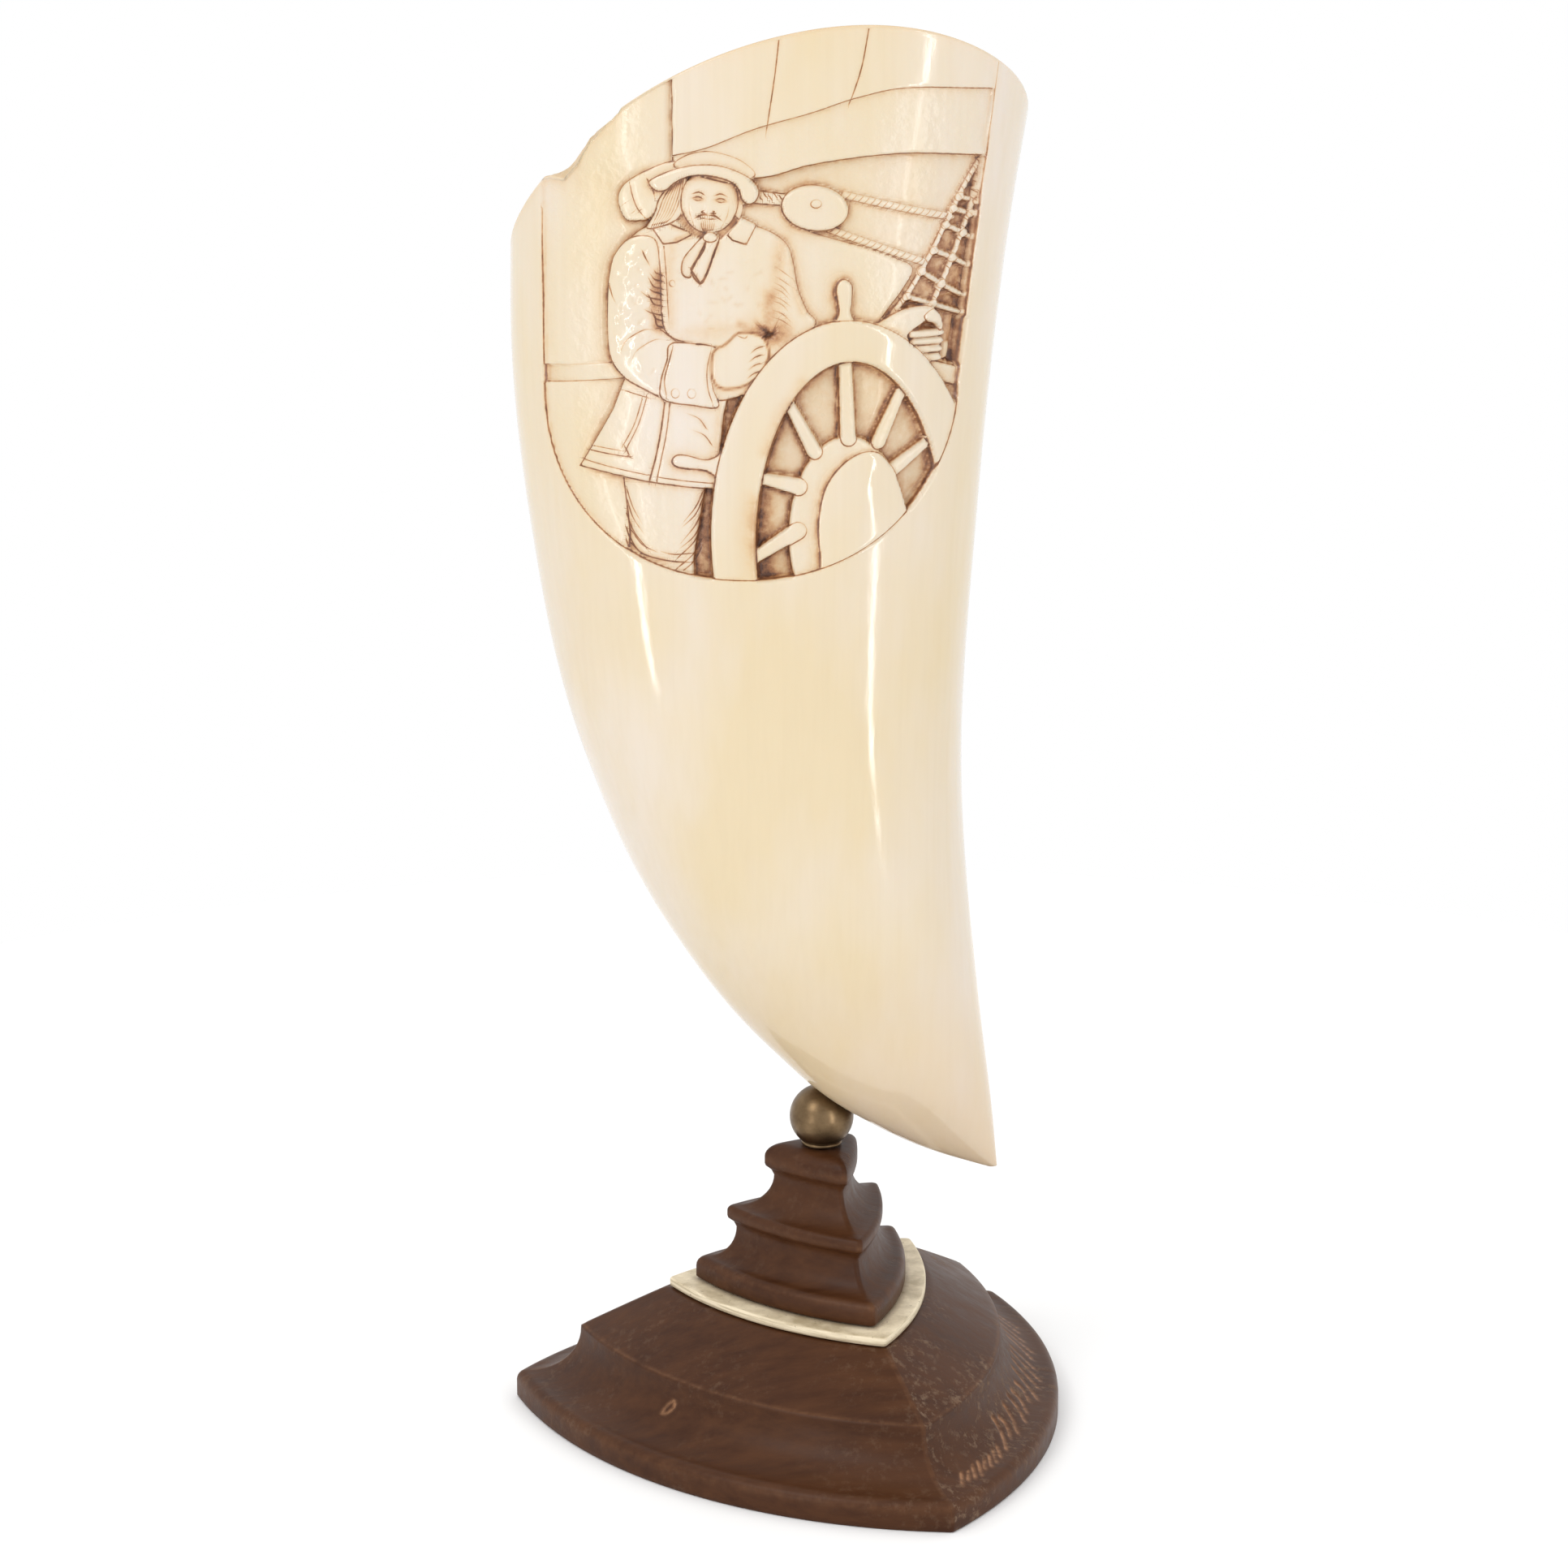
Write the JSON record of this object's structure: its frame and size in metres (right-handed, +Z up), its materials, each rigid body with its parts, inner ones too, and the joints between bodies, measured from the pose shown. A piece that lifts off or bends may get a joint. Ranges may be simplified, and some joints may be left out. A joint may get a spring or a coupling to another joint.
{
  "type": "scrimshaw whale tooth",
  "caption": "Whale tooth with a carved, brown-stained shipboard panel, standing point down on a brass ball and a stepped three-sided wooden stand with a cream band.",
  "frame": {"origin": "on the stand's flat underside, at the middle of the three-sided outline, under the brass ball", "axes": "+Z up, -Y towards the viewer of the carved face, +X to the viewer's right"},
  "size_m": [0.0886, 0.0877, 0.2257],
  "materials": {
    "tooth_ivory": "polished cream ivory with sepia stain rubbed into the carving",
    "aged_brass": "dull aged brass, softly polished",
    "dark_wood": "dark red-brown, satin, with faint dust and wear",
    "band_bone": "cream, matt, fine grain with small dark flecks"
  },
  "bodies": {
    "root": {"whale_tooth": "tooth_ivory", "brass_ball": "aged_brass", "upper_pedestal": "dark_wood", "cream_band": "band_bone", "lower_base": "dark_wood"}
  },
  "joints": []
}
